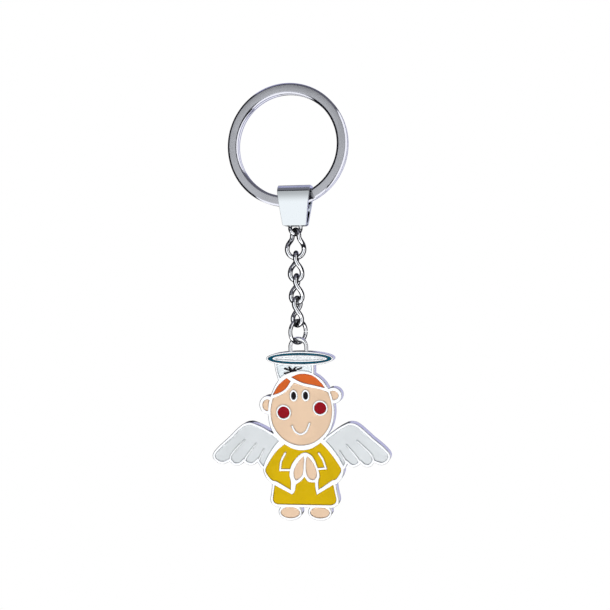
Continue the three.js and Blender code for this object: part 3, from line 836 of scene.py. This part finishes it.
for entry in frame["record"]["subparts"]:
    if entry["node"].startswith("enamel_"):
        fill = enamel_fill(entry["node"], PAINTS.get(entry["node"], PAINTS[entry["material_slot"]]))
        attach(fill, "charm")
        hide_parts(entry["node"])

# ---- setting: camera, pale floor and studio light ----
AIM = Vector((4.387, 0, -51.43)) * MM
DISTANCE = 200 * MM
AZIMUTH, ELEVATION = math.radians(12.5), math.radians(1.7)
LENS, NEAR = 48.18, 0.01
CARD_DISTANCE = 0.45
FILL_PLACE, FILL_SIZE, FILL_ENERGY = (-0.12, -0.6, 0.2), 0.5, 10.3

camera_data = bpy.data.cameras.new("camera")
camera_data.lens = LENS
camera_data.clip_start = NEAR
camera = bpy.data.objects.new("camera", camera_data)
bpy.context.collection.objects.link(camera)
level = math.cos(ELEVATION)
away = Vector((math.sin(AZIMUTH) * level, -math.cos(AZIMUTH) * level, math.sin(ELEVATION)))
camera.location = AIM + away * DISTANCE
camera.rotation_euler = (-away).to_track_quat("-Z", "Y").to_euler()
bpy.context.scene.camera = camera

scene = bpy.context.scene
scene.view_settings.view_transform = "Standard"


def glow(name, colour, strength):
    material = bpy.data.materials.new(name)
    material.use_nodes = True
    tree = material.node_tree
    tree.nodes.clear()
    emit, out = new_nodes(tree, "ShaderNodeEmission", "ShaderNodeOutputMaterial")
    set_inputs(emit, {"Color": colour, "Strength": strength})
    tree.links.new(emit.outputs[0], out.inputs["Surface"])
    return material


def card(name, centre, facing, width, height, material, seen=False):
    """A flat glowing card that stands near the object, out of the camera's sight unless seen is set."""
    mesh = bpy.data.meshes.new(name)
    w, h = width / 2, height / 2
    mesh.from_pydata([(-w, -h, 0), (w, -h, 0), (w, h, 0), (-w, h, 0)], [], [(0, 1, 2, 3)])
    mesh.materials.append(material)
    thing = bpy.data.objects.new(name, mesh)
    bpy.context.collection.objects.link(thing)
    thing.location = Vector(centre)
    thing.rotation_euler = (Vector(facing) - Vector(centre)).to_track_quat("Z", "Y").to_euler()
    thing.visible_camera = seen
    return thing


white = glow("pale_sweep", (1, 1, 1, 1), 1.0)
MIDDLE = Vector((0.004, 0, -0.05))
for sheet in (card("floor", (0.004, 0, -0.25), (0.004, 0, 0), 4, 4, white, True),
              card("backdrop", (0.004, 1.2, -0.05), MIDDLE, 6, 6, white, True)):
    sheet.visible_glossy = False
    sheet.visible_diffuse = False


COOL = (0.95, 0.975, 1, 1)
WHITE = (1, 1, 1, 1)
LAVENDER = linear(186, 186, 220)
GREY = linear(120, 120, 130)
# Columns: name, azimuth to the right of the front and elevation in degrees, width and height in metres, colour,
# strength, and whether it lights the enamel too or shows in the metal only.
CARDS = (
    ("front_white", -14, -5, 0.42, 0.48, COOL, 1.16, True),
    ("right_white", 54, 0, 0.20, 0.9, WHITE, 1.6, True),
    ("left_white", -120, 0, 0.2, 0.9, WHITE, 0.3, True),
    ("low_white", -12, -54, 0.7, 0.26, WHITE, 1.6, True),
    ("high_grey", 0, 55, 0.6, 0.36, GREY, 1.0, False),
    ("high_lavender", 0, 106, 0.7, 0.44, LAVENDER, 1.0, False),
    ("rear_lavender", 172, 2, 0.30, 0.42, LAVENDER, 1.0, True),
    ("rear_white", 135, -16, 0.30, 0.70, WHITE, 0.75, True),
)
for name, azimuth, elevation, width, height, colour, strength, lights_enamel in CARDS:
    turn, lift = math.radians(azimuth), math.radians(elevation)
    direction = Vector((math.sin(turn) * math.cos(lift), -math.cos(turn) * math.cos(lift), math.sin(lift)))
    sheet = card(name, MIDDLE + direction * CARD_DISTANCE, MIDDLE, width, height, glow(name, colour, strength))
    sheet.visible_diffuse = lights_enamel

# A soft light for the enamel that stays out of the metal's reflections.
fill_data = bpy.data.lights.new("fill_front", "AREA")
fill_data.size = FILL_SIZE
fill_data.energy = FILL_ENERGY
lamp = bpy.data.objects.new("fill_front", fill_data)
bpy.context.collection.objects.link(lamp)
lamp.location = MIDDLE + Vector(FILL_PLACE)
lamp.rotation_euler = (lamp.location - MIDDLE).to_track_quat("Z", "Y").to_euler()
lamp.visible_glossy = False

# The room is dark in the metal and pale behind the object.
world = bpy.data.worlds.new("dark_studio")
scene.world = world
world.use_nodes = True
sky = world.node_tree
dark = sky.nodes["Background"]
pale, path, pick = new_nodes(sky, "ShaderNodeBackground", "ShaderNodeLightPath", "ShaderNodeMixShader")
set_inputs(dark, {"Color": (0.02, 0.02, 0.026, 1)})
set_inputs(pale, {"Color": WHITE})
link_nodes(sky, (
    (path.outputs["Is Camera Ray"], pick.inputs[0]),
    (dark.outputs[0], pick.inputs[1]),
    (pale.outputs[0], pick.inputs[2]),
    (pick.outputs[0], sky.nodes["World Output"].inputs["Surface"]),
))

for leftover in [o for o in bpy.data.objects if o.name.split(".")[0] in ("section", "flat_section", "line")]:
    bpy.data.objects.remove(leftover)
